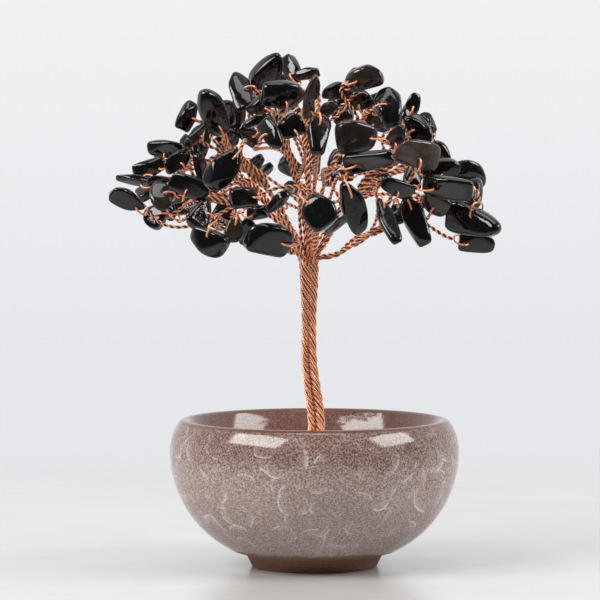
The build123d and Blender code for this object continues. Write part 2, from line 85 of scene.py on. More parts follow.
# Bowl profile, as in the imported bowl
BELLY_HEIGHT = 28.0 * MM
BELLY_SWEEP = 26.55 * MM
BOWL_WALL = 3.0 * MM
INNER_WIDTH_SHARE = 0.86
INNER_ARC_END = -89
MOUTH_RADIUS = 32.85 * MM
LIP_RISE = 0.7 * MM
FLARE_RADIUS = 19.8 * MM
FLARE_HEIGHT = 4.0 * MM
FOOT_RADIUS = 15.2 * MM
FOOT_TOP_RADIUS = 16.4 * MM
FOOT_HEIGHT = 2.9 * MM
FOOT_RING_WIDTH = 2.6 * MM
FOOT_RECESS = 1.6 * MM
FOOT_EDGE = 0.3 * MM
FOOT_GROOVE = 0.1 * MM
BELLY_STEPS = 40
SHOULDER_STEPS = 14
LIP_STEPS = 8
INNER_STEPS = 30
BOWL_SIDES = 160
INSIDE_ROWS = 6

# Plaster mound, with its lumps' heights and margin in mm
PLASTER_EDGE_HEIGHT = 27.4 * MM
PLASTER_PEAK_HEIGHT = 33.6 * MM
PLASTER_EDGE_GAP = 0.3 * MM
PLASTER_SLOPE_POWER = 1.6
PLASTER_WALL_SHARE = 0.93
PLASTER_WALL_HEIGHT = 18 * MM
PLASTER_BASE_SHARE = 0.7
PLASTER_BASE_RISE = 3 * MM
PLASTER_FLOOR_RISE = 1 * MM
PLASTER_ROWS = 40
PLASTER_SIDES = 120
LUMP_DEPTH = 0.3 * MM
LUMP_START = 26
LUMP_RISE = 2
LUMP_MARGIN = 4

# Trunk: how far it swells and how deep its valleys are at given heights in mm
TRUNK_HEIGHTS = (33, 39, 47, 58, 63, 68, 74)
TRUNK_SWELL = (0.36, 0.38, 0.22, 0.0, 0.1, 0.38, 0.6)
VALLEY_SHARE = (1, 1, 1, 0.7, 0.5, 0.2, 0)

# Trunk: its outer wires, the valleys between its three ropes and the painted shade in them, and the wavering
# of its wires
LAY_HEIGHT = 47 * MM
OUTER_WIRES = 14
OUTER_STRANDS = 9
CORE_RADIUS = 1.2 * MM
CORE_LAY_SHARE = 0.8
SUNK_SHARE = 0.8
ROPES = 3
VALLEY_ANGLE = math.radians(-98)
VALLEY_DEPTH = 0.45 * MM
VALLEY_POWER = 0.7
VALLEY_SHADE = 0.4
WAVER_ANGLE = 0.05
WAVER_ANGLE_LENGTH = 11 * MM
WAVER_DEPTH = 0.09 * MM
WAVER_DEPTH_LENGTH = 7.3 * MM
STRAND_PHASE = 7
WIRE_PHASE = 2.4
DEPTH_PHASE = 3
STRAND_STEPS = 420
STRAND_WIRE_SIDES = 10

# Fork: where the trunk opens, how the lay passes into the limbs, and how far the spare wires run on
FORK_HEIGHT = 73.7 * MM
FORK_MARGIN = 1 * MM
FORK_LEAD = 3 * MM
FORK_BLEND = 9 * MM
FORK_RUN = 5 * MM
LIMB_WIRES = 2

# Twigs' tails: their places round the limb, which wind about it once in a length, and how long they are
TAIL_PLACES = 6
LIMB_WINDING = 45 * MM
TAIL_SWING = 4 * MM
TAIL_SHARES = (0, 0.3, 0.8, 1)
TAIL_REACH = 1.1 * MM
TAIL_END_REACH = 0.5 * MM
FULL_TAILS = 1
FULL_TAIL_SHARE = 1.2
UPRIGHT_CUT = 0.6
LEAST_TAIL_SHARE = 0.6
TAIL_SPREAD = 0.8
GOLDEN_SHARE = 0.618

# Twigs: points along a twig's parts, and passes that soften its bends
APPROACH_STEPS = 40
PAIR_STEPS = 160
PAIR_PASSES = 16
LOOP_STEPS = 60
TWIG_STEPS = 320
TWIG_WIRE_SIDES = 7

# How deep a wire on its own seems to lie in a bundle, which keeps the painted crest highlight and shade off
# it, and the least length that has a direction
LONE_DEPTH = 0.15
TINY_LENGTH = 1e-7

# Stones: their grid, and the ranges from which each one's planes, hollows and waves are drawn
STONE_SIDES = 36
STONE_ROWS = 22
BOX_SHARES = (1.02, 1.07, 1.16)
TAPER = 0.34
WEDGE = 0.16
SIDE_SHARES = (1.15, 1.5)
FACETS = 6
FACET_LEANS = (0.25, 1)
FACET_SHARES = (0.88, 1.1)
POWER_SHARES = (0.7, 1.3)
HOLLOWS = 4
HOLLOW_WIDTHS = (0.25, 0.6)
HOLLOW_SHARES = (0.2, 1)
WAVE_REACH = 4
WAVE_STARTS = (0, 6)
WAVE_DEPTH = 0.012

# Smoky stones: place across and up in mm as seen from the front, and how far they are from black
SMOKY_STONES = (
    (-37.3, 89.4, 0.5),
    (24.8, 99.8, 1.0),
    (12.2, 118.1, 0.3),
    (29.4, 87.7, 0.4),
    (-19.6, 81.2, 0.6),
    (10.0, 103.9, 0.25),
    (14.9, 107.5, 0.3),
    (19.7, 104.1, 0.4),
    (-0.8, 113.3, 0.35),
    (4.5, 83.4, 0.4),
)
FRONT_REACH = 50 * MM
FRONT_PREFERENCE = 0.1

# Glaze: heights in mm between which its coats change, and the white arcs on the unrolled belly
GLAZE_BAND = (21, 35)
GLAZE_WANDER = 12
SPECKLE_BAND = (14, 33)
WISP_TOP = (27, 33)
WISP_FOOT = (6, 15)
RIM_BAND = (35.2, 35.55)
RIM_WANDER = 0.5
RIM_SHARE = 0.85
GLAZE_END = (4.3, 4.75)
GLAZE_END_WANDER = 2.2
UNROLL_RADIUS = 33.0
UNROLL_STRETCH = 1.2
ARC_PUSH = 6.0
ARC_SCALES_AND_STRENGTHS = ((0.085, 0.95), (0.12, 0.75))
ARC_LEAST_RADIUS = 0.36
ARC_RADIUS_SPREAD = 0.2
ARC_EDGE = 0.09
ARC_HALO = 0.28
ARC_HALO_STRENGTH = 0.35
ARC_FADE = 0.025
SEAM_TURNS = (2.8, 3.05)

# Colours at the dark and pale ends of the finishes
# Painted shade between the wires: the colour that corners facing into their bundle, and wires in the trunk's
# valleys, are darkened to
PAINTED_GAP_SHADE = (0.12, 0.024, 0.009, 1)
STONE_DUST = (0.010, 0.010, 0.010, 1)
DARK_SPECKLE = (0.40, 0.37, 0.36, 1)
PALE_SPECKLE = (1.72, 1.76, 1.79, 1)
DARK_INSIDE = (0.11, 0.052, 0.038, 1)
PALE_INSIDE = (0.23, 0.135, 0.105, 1)
DARK_CLAY = (0.18, 0.085, 0.055, 1)
DARK_PLASTER = (0.52, 0.49, 0.46, 1)
PALE_PLASTER = (0.80, 0.78, 0.75, 1)
DARK_TABLE = (0.52, 0.52, 0.515, 1)
PALE_TABLE = (0.57, 0.57, 0.565, 1)
LOW_BACKDROP = (0.79, 0.80, 0.83, 1)
HIGH_BACKDROP = (0.88, 0.88, 0.90, 1)

# Camera: 1 m in front of the trunk, a little above the canopy's middle
VIEW_DISTANCE = 1.0
VIEW_HEIGHT = 123.0 * MM
VIEW_CENTRE = (-3.5 * MM, 64.5 * MM)
FRAME_WIDTH = 144.84 * MM
SENSOR_WIDTH = 36.0
CLIP_START = 0.01

# Table, which fades out between two distances in mm
TABLE_REACH = 1.2
TABLE_CELLS = 8
TABLE_FADE = (110, 330)

# Lamps: degrees to the right of the front and up, distance and size in metres, power and colour
LAMP_AIM = Vector((0, 0, 60 * MM))
LAMPS = (
    ("left_window", -55, 38, 0.95, (0.72, 0.38), 9.0, (1.0, 0.985, 0.97)),
    ("right_window", 75, 34, 0.95, (0.56, 0.36), 5.4, (1.0, 0.99, 0.98)),
    ("top_fill", 10, 78, 1.1, (0.55, 0.55), 3.0, (1.0, 1.0, 1.0)),
)

# Studio round the object: its light from front to back, and the backdrop's rise and place in reflections
STUDIO_DEPTH = (-0.7, 0.8)
STUDIO_LEVELS = (0.06, 0.85)
BACKDROP_RISE = (-0.07, 0.01)
BACKDROP_DEPTH = (0.2, 0.7)


class GEMTREE_PG_wires(bpy.types.PropertyGroup):
    """Sizes and colours of the copper wires"""

    diameter: FloatProperty(
        name="Wire",
        description="Diameter of a single wire",
        default=0.48 * MM,
        unit="LENGTH",
        precision=5,
    )
    strand_diameter: FloatProperty(
        name="Strand wire",
        description="Diameter of a wire of a strand",
        default=0.58 * MM,
        unit="LENGTH",
        precision=5,
    )
    wires_per_strand: IntProperty(
        name="Wires in a strand",
        description="Wires that are twisted into one strand",
        default=5,
        min=2,
        max=7,
    )
    trunk_waist: FloatProperty(
        name="Trunk waist",
        description="Radius of the trunk at its thinnest",
        default=1.8 * MM,
        unit="LENGTH",
    )
    limb_pitch: FloatProperty(
        name="Limb twist",
        description="Length of one turn of a strand on a limb",
        default=3.6 * MM,
        unit="LENGTH",
    )
    twig_pitch: FloatProperty(
        name="Twig twist",
        description="Length of one turn of a twig's pair of wires",
        default=3.2 * MM,
        unit="LENGTH",
    )
    tail_length: FloatProperty(
        name="Tail",
        description="How far a twig's wires run back along their limb",
        default=10 * MM,
        unit="LENGTH",
    )
    colour: FloatVectorProperty(
        name="Copper",
        description="Colour of clean copper",
        subtype="COLOR",
        size=4,
        default=(1.0, 0.39, 0.20, 1),
    )
    # Colour of the painted highlight that the copper finish puts on crests facing out of their bundle
    crest: FloatVectorProperty(
        name="Crest",
        description="Colour of rubbed crests",
        subtype="COLOR",
        size=4,
        default=(1.0, 0.57, 0.36, 1),
    )
    tarnish: FloatVectorProperty(
        name="Tarnish",
        description="Colour of darkened copper",
        subtype="COLOR",
        size=4,
        default=(0.88, 0.28, 0.125, 1),
    )


class GEMTREE_PG_stones(bpy.types.PropertyGroup):
    """Form and colours of the stone chips"""

    edge_power: FloatProperty(
        name="Edge sharpness",
        description="Higher values give sharper edges",
        default=11.0,
        min=3,
        max=40,
    )
    dent_depth: FloatProperty(
        name="Dents",
        description="Depth of the hollows, as a share of the stone",
        default=0.06,
        min=0,
        max=0.3,
    )
    colour: FloatVectorProperty(
        name="Stone",
        description="Colour of the black stone",
        subtype="COLOR",
        size=4,
        default=(0.0035, 0.0035, 0.004, 1),
    )
    smoke: FloatVectorProperty(
        name="Smoky stone",
        description="Colour of the smoky stones",
        subtype="COLOR",
        size=4,
        default=(0.085, 0.062, 0.050, 1),
    )


class GEMTREE_PG_bowl(bpy.types.PropertyGroup):
    """Colours of the glazed bowl"""

    glaze: FloatVectorProperty(
        name="Glaze",
        description="Mauve-grey of the lower glaze",
        subtype="COLOR",
        size=4,
        default=(0.368, 0.28, 0.252, 1),
    )
    upper_glaze: FloatVectorProperty(
        name="Upper glaze",
        description="Red-brown of the glaze near the rim",
        subtype="COLOR",
        size=4,
        default=(0.205, 0.13, 0.108, 1),
    )
    rim: FloatVectorProperty(
        name="Rim",
        description="Rust where the glaze runs thin",
        subtype="COLOR",
        size=4,
        default=(0.11, 0.036, 0.015, 1),
    )
    wisps: FloatVectorProperty(
        name="Wisps",
        description="White wisps in the glaze",
        subtype="COLOR",
        size=4,
        default=(0.76, 0.69, 0.67, 1),
    )
    clay: FloatVectorProperty(
        name="Clay",
        description="Bare clay of the foot",
        subtype="COLOR",
        size=4,
        default=(0.40, 0.20, 0.135, 1),
    )


def merged_node(name):
    """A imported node's corners and triangles, with the corners that its loose triangles share merged."""
    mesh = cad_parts[name].data
    mesh.calc_loop_triangles()
    corners = np.empty(len(mesh.vertices) * 3, np.float32)
    mesh.vertices.foreach_get("co", corners)
    triangles = np.empty(len(mesh.loop_triangles) * 3, np.int32)
    mesh.loop_triangles.foreach_get("vertices", triangles)
    corners = corners.reshape(-1, 3).astype(float)
    keys = np.round(corners / MERGE_DISTANCE)
    _, first, place = np.unique(keys, axis=0, return_index=True, return_inverse=True)
    return corners[first], place.reshape(-1)[triangles].reshape(-1, 3)


def solids_of(name):
    """The separate solids of a node: each corner takes the least number among those that it is joined to."""
    corners, triangles = merged_node(name)
    label = np.arange(len(corners))
    while True:
        spread = label.copy()
        np.minimum.at(spread, triangles.ravel(), np.repeat(label[triangles].min(axis=1), 3))
        spread = spread[spread]
        if np.array_equal(spread, label):
            break
        label = spread
    owner = label[triangles[:, 0]]
    solids = []
    for number in np.unique(owner):
        used, local = np.unique(triangles[owner == number], return_inverse=True)
        solids.append((corners[used], local.reshape(-1, 3)))
    return solids


def joined_corners(triangles, count):
    """A square table that says which corners share an edge."""
    joined = np.zeros((count, count), bool)
    for a, b in ((0, 1), (1, 2), (2, 0)):
        joined[triangles[:, a], triangles[:, b]] = True
        joined[triangles[:, b], triangles[:, a]] = True
    return joined


def ring_centres(corners, triangles, start):
    """Middles of a swept wire's rings: corners in layers, outwards from the ring that it starts with."""
    joined = joined_corners(triangles, len(corners))
    layer = np.zeros(len(corners), bool)
    layer[start] = True
    seen = layer.copy()
    centres = []
    while layer.any():
        centres.append(corners[layer].mean(axis=0))
        layer = joined[layer].any(axis=0) & ~seen
        seen |= layer
    return np.array(centres)


def twig_knots(corners, triangles):
    """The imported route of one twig: four points up to its loop, then the loop's four corners.

    A cap is a triangle that is joined to as many other corners as the wire has sides. The loop is at the
    end with square bends.
    """
    outside = joined_corners(triangles, len(corners))[triangles].any(axis=1)
    np.put_along_axis(outside, triangles, False, axis=1)
    caps = np.flatnonzero(outside.sum(axis=1) == TWIG_SIDES)
    knots = ring_centres(corners, triangles, triangles[caps[0]])
    runs = unit(np.diff(knots, axis=0))
    square = np.abs((runs[:-1] * runs[1:]).sum(axis=1)) < SQUARE_COSINE
    return knots if square[4] and square[5] else knots[::-1]


def smoothstep(value):
    """Three times the square less twice the cube of a value that is held between 0 and 1."""
    value = np.clip(value, 0, 1)
    return value * value * (3 - 2 * value)


def unit(vectors):
    """Vectors divided by their lengths."""
    return vectors / np.linalg.norm(vectors, axis=-1, keepdims=True)


def smooth_curve(knots, count):
    """Natural cubic spline through knots, at even steps of the length along their chords."""
    step = np.linalg.norm(np.diff(knots, axis=0), axis=1)
    length = np.concatenate([[0], np.cumsum(step)])
    n = len(knots)
    inner = np.arange(1, n - 1)
    system = np.eye(n)
    system[inner, inner - 1] = step[:-1]
    system[inner, inner] = 2 * (step[:-1] + step[1:])
    system[inner, inner + 1] = step[1:]
    right = np.zeros((n, 3))
    right[1:-1] = 6 * np.diff(np.diff(knots, axis=0) / step[:, None], axis=0)
    bend = np.linalg.solve(system, right)
    at = np.linspace(0, length[-1], count)
    k = np.clip(np.searchsorted(length, at, side="right") - 1, 0, n - 2)
    a = ((length[k + 1] - at) / step[k])[:, None]
    b = 1 - a
    sag = ((a**3 - a) * bend[k] + (b**3 - b) * bend[k + 1]) * (step[k] ** 2)[:, None] / 6
    return a * knots[k] + b * knots[k + 1] + sag


def cubic_through(points, count):
    """The cubic that passes four points at equal steps of its parameter."""
    t = np.linspace(0, 3, count)[:, None]
    weights = (
        -(t - 1) * (t - 2) * (t - 3) / 6,
        t * (t - 2) * (t - 3) / 2,
        -t * (t - 1) * (t - 3) / 2,
        t * (t - 1) * (t - 2) / 6,
    )
    return sum(w * p for w, p in zip(weights, points))


def length_along(path):
    """The length of a path up to each of its points: the sum of the steps before it."""
    return np.concatenate([[0], np.cumsum(np.linalg.norm(np.diff(path, axis=0), axis=1))])


def resampled(path, count):
    """A path at even steps of its length, with the columns that go with it."""
    length = length_along(path[:, :3])
    at = np.linspace(0, length[-1], count)
    return np.column_stack([np.interp(at, length, column) for column in path.T])


def softened(path, passes):
    """A path with each inner point moved towards the middle of its neighbours, a few times over."""
    path = path.copy()
    for _ in range(passes):
        path[1:-1] = (path[:-2] + 2 * path[1:-1] + path[2:]) / 4
    return path


def frames_along(paths):
    """Directions to the side and up along paths, turned as little as possible from ring to ring."""
    ahead = unit(np.gradient(paths, axis=1))
    least = np.eye(3)[np.argmin(np.abs(ahead[:, 0]), axis=1)]
    side = np.empty_like(paths)
    side[:, 0] = unit(np.cross(ahead[:, 0], least))
    for i in range(1, paths.shape[1]):
        before = side[:, i - 1]
        flat = before - ahead[:, i] * (before * ahead[:, i]).sum(axis=1, keepdims=True)
        side[:, i] = unit(flat)
    return side, np.cross(ahead, side)


def frame_along(path):
    """Directions to the side and up along a single path."""
    side, up = frames_along(path[None])
    return side[0], up[0]


def tubes(paths, cores, shade, radius, sides):
    """Round wires: a circle of the given radius carried along each path, with both ends closed.

    Also how deep each corner lies in its bundle: 0 on the crest, 0.5 at the flanks and 1 towards the
    bundle's core, and no less than the painted shade of its place on the path. The copper finish paints a
    highlight on the crest and shade towards the core from this depth. A wire on its own has one depth
    all round.
    """
    side, up = frames_along(paths)
    angle = np.linspace(0, math.tau, sides, endpoint=False)
    circle = side[:, :, None] * np.cos(angle)[:, None] + up[:, :, None] * np.sin(angle)[:, None]
    corners = paths[:, :, None] + circle * radius
    outward = paths - cores
    away = np.linalg.norm(outward, axis=-1, keepdims=True)
    facing = (circle * (outward / np.maximum(away, TINY_LENGTH))[:, :, None]).sum(axis=-1)
    bundled = np.clip(away / radius, 0, 1)
    depth = LONE_DEPTH + bundled * ((1 - facing) / 2 - LONE_DEPTH)
    depth = np.maximum(depth, np.broadcast_to(shade, paths.shape[:2])[..., None])
    wires, rings = paths.shape[:2]
    row = np.arange(rings - 1)[:, None] * sides
    k = np.arange(sides)
    after = (k + 1) % sides
    quads = np.stack([row + k, row + after, row + sides + after, row + sides + k], axis=-1).reshape(-1, 4)
    caps = np.stack([k[::-1], (rings - 1) * sides + k])
    start = np.arange(wires)[:, None, None] * rings * sides
    faces = (quads + start).reshape(-1, 4).tolist() + (caps + start).reshape(-1, sides).tolist()
    return corners.reshape(-1, 3), faces, depth.ravel()


def globe_faces(count, rows, around):
    """Faces of closed forms with a pole at each end and rings of corners between."""
    row = np.arange(rows - 1)[:, None] * around + 1
    k = np.arange(around)
    after = (k + 1) % around
    quads = np.stack([row + k, row + around + k, row + around + after, row + after], axis=-1).reshape(-1, 4)
    last = rows * around + 1
    top = np.stack([np.zeros(around, int), 1 + k, 1 + after], axis=-1)
    bottom = np.stack([np.full(around, last), last - around + after, last - around + k], axis=-1)
    start = np.arange(count)[:, None, None] * (last + 1)
    threes = np.concatenate([top, bottom])
    return (quads + start).reshape(-1, 4).tolist() + (threes + start).reshape(-1, 3).tolist()


def lathe(profile, around):
    """A profile of radius and height turned about the upright axis, closed at both ends on the axis."""
    angle = np.linspace(0, math.tau, around, endpoint=False)
    ring = profile[1:-1]
    corners = np.empty((len(ring), around, 3))
    corners[..., 0] = ring[:, :1] * np.cos(angle)
    corners[..., 1] = ring[:, :1] * np.sin(angle)
    corners[..., 2] = ring[:, 1:]
    ends = [[[0, 0, profile[0, 1]]], [[0, 0, profile[-1, 1]]]]
    return np.concatenate([ends[0], corners.reshape(-1, 3), ends[1]]), globe_faces(1, len(ring), around)


def arc(centre, radius, start, end, count):
    """Points of an arc of the profile, angles in degrees."""
    angle = np.radians(np.linspace(start, end, count))
    return np.column_stack([centre[0] + radius * np.cos(angle), centre[1] + radius * np.sin(angle)])


def mesh_object(name, corners, faces, material, body, node, attributes=()):
    """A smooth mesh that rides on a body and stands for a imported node."""
    mesh = bpy.data.meshes.new(name)
    mesh.from_pydata(np.asarray(corners).tolist(), [], faces)
    mesh.polygons.foreach_set("use_smooth", np.ones(len(mesh.polygons), bool))
    for key, values in dict(attributes).items():
        layer = mesh.attributes.new(key, "FLOAT", "POINT")
        layer.data.foreach_set("value", np.asarray(values, np.float32))
    mesh.materials.append(material)
    mesh.update()
    piece = bpy.data.objects.new(name, mesh)
    bpy.context.scene.collection.objects.link(piece)
    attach(piece, body)
    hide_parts(node)
    return piece


class Finish:
    """The node tree of a material or a world, with short calls that add nodes and join them."""

    def __init__(self, owner, surface="Principled BSDF"):
        owner.use_nodes = True
        self.owner = owner
        self.tree = owner.node_tree
        self.surface = self.tree.nodes[surface]

    def set(self, **values):
        """Values or links for the shader's own sockets."""
        for key, value in values.items():
            self.feed(self.surface.inputs[key.replace("_", " ")], value)

    def feed(self, socket, value):
        """A link into a socket where the value is another node's socket, or else its value."""
        if isinstance(value, bpy.types.NodeSocket):
            self.tree.links.new(value, socket)
        else:
            socket.default_value = value

    def node(self, kind, inputs=(), **settings):
        """A new node with its settings and inputs."""
        made = self.tree.nodes.new("ShaderNode" + kind)
        for key, value in settings.items():
            setattr(made, key, value)
        for key, value in dict(inputs).items():
            self.feed(made.inputs[key], value)
        return made

    def place(self):
        """Object coordinates in millimetres."""
        coordinates = self.node("TexCoord").outputs["Object"]
        return self.node("VectorMath", {0: coordinates, "Scale": 1 / MM}, operation="SCALE").outputs["Vector"]

    def attribute(self, name):
        """A number that each corner of the mesh carries."""
        return self.node("Attribute", attribute_name=name).outputs["Fac"]

    def math(self, operation, *values):
        """The result of one sum."""
        return self.node("Math", dict(enumerate(values)), operation=operation).outputs[0]

    def product(self, first, *others):
        """Values multiplied together."""
        for other in others:
            first = self.math("MULTIPLY", first, other)
        return first

    def shifted(self, value, noise, amount):
        """A value moved up and down by a noise, by half the amount at most."""
        return self.math("ADD", value, self.product(self.math("SUBTRACT", noise, 0.5), amount))

    def between(self, value, low, high, start=0.0, end=1.0, easing="SMOOTHSTEP"):
        """A value carried from one range to another, smoothly unless the easing says otherwise."""
        inputs = {"Value": value, "From Min": low, "From Max": high, "To Min": start, "To Max": end}
        return self.node("MapRange", inputs, interpolation_type=easing).outputs["Result"]

    def noise(self, place, scale, detail=2.0, roughness=0.5, distortion=0.0):
        """Noise of so many waves to the millimetre."""
        inputs = {"Vector": place, "Scale": scale, "Detail": detail}
        inputs.update({"Roughness": roughness, "Distortion": distortion})
        return self.node("TexNoise", inputs).outputs["Fac"]

    def mix(self, share, first, second, blend="MIX"):
        """Two colours mixed by a share of the second."""
        inputs = {0: share, 6: first, 7: second}
        return self.node("Mix", inputs, data_type="RGBA", blend_type=blend).outputs[2]

    def bump(self, height, strength, distance):
        """Normals of a relief of the given height."""
        inputs = {"Height": height, "Strength": strength, "Distance": distance}
        return self.node("Bump", inputs).outputs["Normal"]


def copper_finish():
    """Drawn copper wire: tarnished stretches, a painted highlight on crests, painted shade in grooves and
    valleys.
    """
    wires = bpy.context.scene.gemtree_wires
    finish = Finish(bpy.data.materials.new("copper_wire"))
    patches = finish.noise(finish.place(), scale=0.3, detail=3, roughness=0.6)
    colour = finish.mix(finish.between(patches, 0.42, 0.72), wires.colour[:], wires.tarnish[:])
    depth = finish.attribute("depth")
    # Painted highlight: corners on the crest of their bundle are mixed towards the pale crest colour
    colour = finish.mix(finish.between(depth, 0.0, 0.16, 0.75, 0.0), colour, wires.crest[:])
    finish.set(
        # Painted shade: corners that face into their bundle or lie in a trunk valley are darkened almost to
        # black
        Base_Color=finish.mix(finish.between(depth, 0.15, 0.36, 0.0, 0.96), colour, PAINTED_GAP_SHADE),
        Metallic=0.12,
        IOR=2.0,
        Specular_Tint=(1.0, 0.70, 0.55, 1),
        Roughness=finish.between(patches, 0.35, 0.7, 0.18, 0.3),
        Coat_Weight=0.25,
        Coat_Roughness=0.08,
    )
    return finish.owner


def stone_finish():
    """Tumbled black stone: glossy, with a faint haze, fine pits and a few smoky stones."""
    stones = bpy.context.scene.gemtree_stones
    finish = Finish(bpy.data.materials.new("tumbled_stone"))
    place = finish.place()
    veins = finish.noise(place, scale=0.5, detail=4, roughness=0.6, distortion=0.6)
    haze = finish.noise(place, scale=0.9, detail=3, roughness=0.55)
    pits = finish.noise(place, scale=0.7)
    cloudy = finish.product(finish.attribute("smoke"), finish.between(veins, 0.25, 0.75, 0.45, 1.0))
    dusty = finish.mix(finish.between(haze, 0.55, 0.8, 0.0, 0.5), stones.colour[:], STONE_DUST)
    finish.set(
        Base_Color=finish.mix(cloudy, dusty, stones.smoke[:]),
        Roughness=finish.between(haze, 0.35, 0.75, 0.05, 0.15),
        IOR=1.54,
        Normal=finish.bump(pits, strength=0.12, distance=0.5 * MM),
    )
    return finish.owner


def white_wisps(finish, place, turn, height):
    """Broken white arcs: rings round the cells of the unrolled belly, sharp outside and soft within."""
    across = finish.math("MULTIPLY", turn, UNROLL_RADIUS)
    up = finish.math("MULTIPLY", height, UNROLL_STRETCH)
    unrolled = finish.node("CombineXYZ", {"X": across, "Y": up}).outputs[0]
    bent = finish.node("TexNoise", {"Vector": place, "Scale": 0.11, "Detail": 1.0}).outputs["Color"]
    push = finish.node("VectorMath", {0: bent, "Scale": ARC_PUSH}, operation="SCALE").outputs["Vector"]
    warped = finish.node("VectorMath", {0: unrolled, 1: push}, operation="ADD").outputs["Vector"]
    arcs = []
    for scale, strength in ARC_SCALES_AND_STRENGTHS:
        inputs = {"Vector": warped, "Scale": scale, "Randomness": 1.0}
        cells = finish.node("TexVoronoi", inputs, voronoi_dimensions="2D").outputs
        chance = finish.node("SeparateColor", {0: cells["Color"]}).outputs[0]
        radius = finish.math("MULTIPLY_ADD", chance, ARC_RADIUS_SPREAD, ARC_LEAST_RADIUS)
        beyond = finish.math("SUBTRACT", cells["Distance"], radius)
        edge = finish.math("POWER", finish.between(beyond, -ARC_EDGE, 0.0), 2.0)
        halo = finish.between(beyond, -ARC_HALO, 0.0, 0.0, ARC_HALO_STRENGTH)
        cut = finish.between(beyond, 0.0, ARC_FADE, strength, 0.0)
        broken = finish.between(finish.noise(place, scale=0.04 + scale), 0.48, 0.6)
        arcs.append(finish.product(finish.math("MAXIMUM", edge, halo), cut, broken))
    return finish.math("MAXIMUM", *arcs)


def bowl_finish():
    """Crackle glaze over clay: mottled mauve below and red-brown above, with white wisps and a bare foot."""
    bowl = bpy.context.scene.gemtree_bowl
    finish = Finish(bpy.data.materials.new("crackle_glaze"))
    place = finish.place()
    split = finish.node("SeparateXYZ", {0: place}).outputs
    height = split["Z"]
    turn = finish.math("ARCTAN2", split["X"], finish.math("MULTIPLY", split["Y"], -1.0))
    inside = finish.attribute("inside")

    wander = finish.noise(place, scale=0.13, detail=3, roughness=0.6)
    band = finish.shifted(height, wander, GLAZE_WANDER)
    base = finish.mix(finish.between(band, *GLAZE_BAND), bowl.glaze[:], bowl.upper_glaze[:])
    grain = finish.noise(place, scale=2.3, roughness=0.7)
    speckle = finish.mix(finish.between(grain, 0.34, 0.68), DARK_SPECKLE, PALE_SPECKLE)
    speckled = finish.mix(1.0, base, speckle, "MULTIPLY")
    base = finish.mix(finish.between(band, *SPECKLE_BAND, 0.6, 1.0), base, speckled)

    wisps = finish.product(
        white_wisps(finish, place, turn, height),
        finish.between(finish.math("ABSOLUTE", turn), *SEAM_TURNS, 1.0, 0.0),
        finish.between(band, *WISP_TOP, 1.0, 0.3),
        finish.between(height, *WISP_FOOT, 0.45, 1.0),
        finish.between(grain, 0.3, 0.6, 0.45, 1.15),
        finish.math("SUBTRACT", 1.0, inside),
    )
    glaze = finish.mix(wisps, base, bowl.wisps[:])
    inner = finish.mix(finish.between(grain, 0.3, 0.7), DARK_INSIDE, PALE_INSIDE)
    glaze = finish.mix(inside, glaze, inner)
    worn = finish.math("ADD", height, finish.math("MULTIPLY", wander, RIM_WANDER))
    rim = finish.between(worn, *RIM_BAND)
    glaze = finish.mix(finish.math("MULTIPLY", rim, RIM_SHARE), glaze, bowl.rim[:])

    inputs = {"Vector": place, "Scale": 0.9, "Distortion": 1.5, "Detail": 2.0}
    rings = finish.node("TexWave", inputs, bands_direction="Z").outputs["Fac"]
    clay_grain = finish.noise(place, scale=3.5, detail=4, roughness=0.7)
    clay = finish.mix(finish.between(clay_grain, 0.3, 0.75), DARK_CLAY, bowl.clay[:])
    ragged = finish.shifted(height, finish.noise(place, scale=0.35, detail=3), GLAZE_END_WANDER)
    glazed = finish.between(ragged, *GLAZE_END)
    lifted = finish.math("ADD", glazed, finish.math("MULTIPLY", grain, 0.05))
    turned = finish.math("ADD", finish.between(rings, 0.0, 1.0), clay_grain)
    turned = finish.product(turned, finish.math("SUBTRACT", 1.0, glazed), 0.12)
    finish.set(
        Base_Color=finish.mix(glazed, clay, glaze),
        Roughness=finish.between(glazed, 0.0, 1.0, 0.62, 0.09, easing="LINEAR"),
        IOR=1.52,
        Normal=finish.bump(finish.math("ADD", lifted, turned), strength=0.6, distance=0.25 * MM),
    )
    return finish.owner


def plaster_finish():
    """White set plaster with a rough, pitted surface."""
    finish = Finish(bpy.data.materials.new("white_plaster"))
    pits = finish.noise(finish.place(), scale=1.4, detail=4, roughness=0.7)
    finish.set(
        Base_Color=finish.mix(finish.between(pits, 0.3, 0.7), DARK_PLASTER, PALE_PLASTER),
        Roughness=0.85,
        Normal=finish.bump(pits, strength=0.5, distance=0.5 * MM),
    )
    return finish.owner


def table_finish():
    """Pale polished table that fades out into the background away from the object."""
    finish = Finish(bpy.data.materials.new("pale_table"))
    place = finish.place()
    cloud = finish.noise(place, scale=0.02, detail=4, roughness=0.6)
    colour = finish.mix(finish.between(cloud, 0.3, 0.7), DARK_TABLE, PALE_TABLE)
    finish.set(Base_Color=colour, Roughness=0.22, IOR=1.45)
    away = finish.node("VectorMath", {0: place}, operation="LENGTH").outputs["Value"]
    fade = finish.between(away, *TABLE_FADE)
    clear = finish.node("BsdfTransparent").outputs[0]
    blended = finish.node("MixShader", {0: fade, 1: finish.surface.outputs[0], 2: clear}).outputs[0]
    finish.feed(finish.tree.nodes["Material Output"].inputs["Surface"], blended)
    return finish.owner


